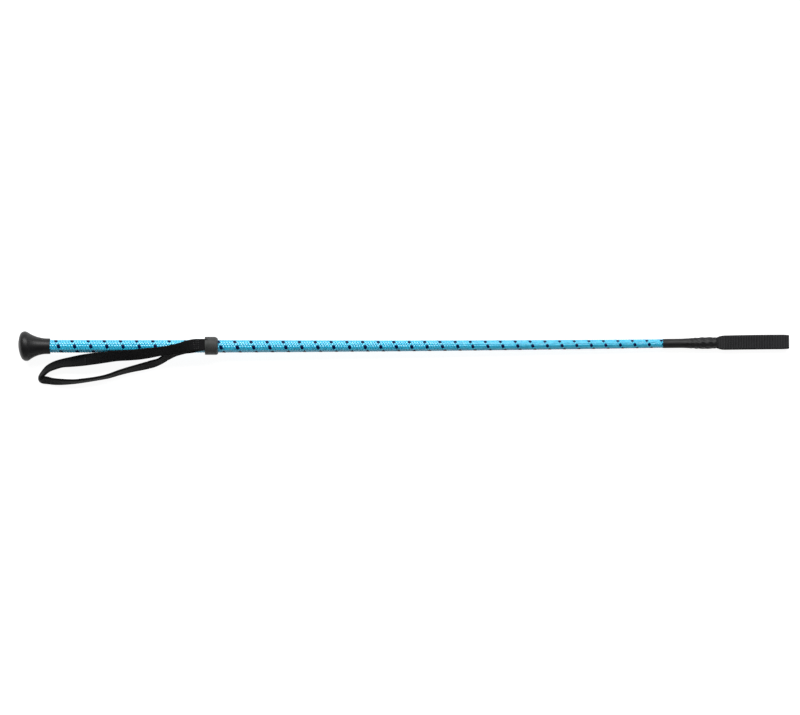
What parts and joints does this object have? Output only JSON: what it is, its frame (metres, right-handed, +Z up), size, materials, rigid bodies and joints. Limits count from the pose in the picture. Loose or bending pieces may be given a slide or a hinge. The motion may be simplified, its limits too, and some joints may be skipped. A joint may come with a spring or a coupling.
{
  "type": "riding whip",
  "caption": "Slim tapered whip in a blue braided cover, with a flared rubber butt cap, a webbing wrist loop at a rubber collar and a folded webbing flap at the tip.",
  "frame": {"origin": "on the surface the whip lies on, under the middle of the whip without its wrist strap", "axes": "+Z up; +X along the whip from the butt cap to the flap; +Y across the whip, away from the wrist loop. The shaft's own axis slopes down 0.76 degrees towards +X, because the cap's rim is wider than the tip sleeve that it also rests on."},
  "size_m": [0.65, 0.0447, 0.0244],
  "materials": {
    "fibreglass": "ground",
    "filler_yarn": "soft yarn",
    "blue_braid": "glossy nylon braid with a navy tracer",
    "black_rubber": "satin moulded",
    "black_webbing": "woven nylon",
    "black_thread": "waxed thread",
    "shrunk_tube": "satin, creased"
  },
  "bodies": {
    "whip": {"core_rod": "fibreglass", "padding_wrap": "filler_yarn", "braided_cover": "blue_braid", "butt_binding": "black_thread", "butt_cap": "black_rubber", "strap_tails": "black_webbing", "collar_binding": "black_thread", "collar": "black_rubber", "flap_tails": "black_webbing", "tip_binding": "black_thread", "tip_sleeve": "shrunk_tube"},
    "loop": {"wrist_strap": "black_webbing", "strap_stitching": "black_thread"},
    "tip_flap": {"flap": "black_webbing", "flap_stitching": "black_thread"}
  },
  "joints": [
    {"name": "loop_lift", "type": "hinge", "parent": "whip", "child": "loop", "pos_m": [-0.17147, 0.0006, 0.01745], "axis": [0, 1, 0], "range_deg": [0, 105]},
    {"name": "flap_bend", "type": "hinge", "parent": "whip", "child": "tip_flap", "pos_m": [0.26518, 0, 0.00445], "axis": [0, 1, 0], "range_deg": [-80, 80], "stiffness_Nm_per_rad": 0.02}
  ]
}
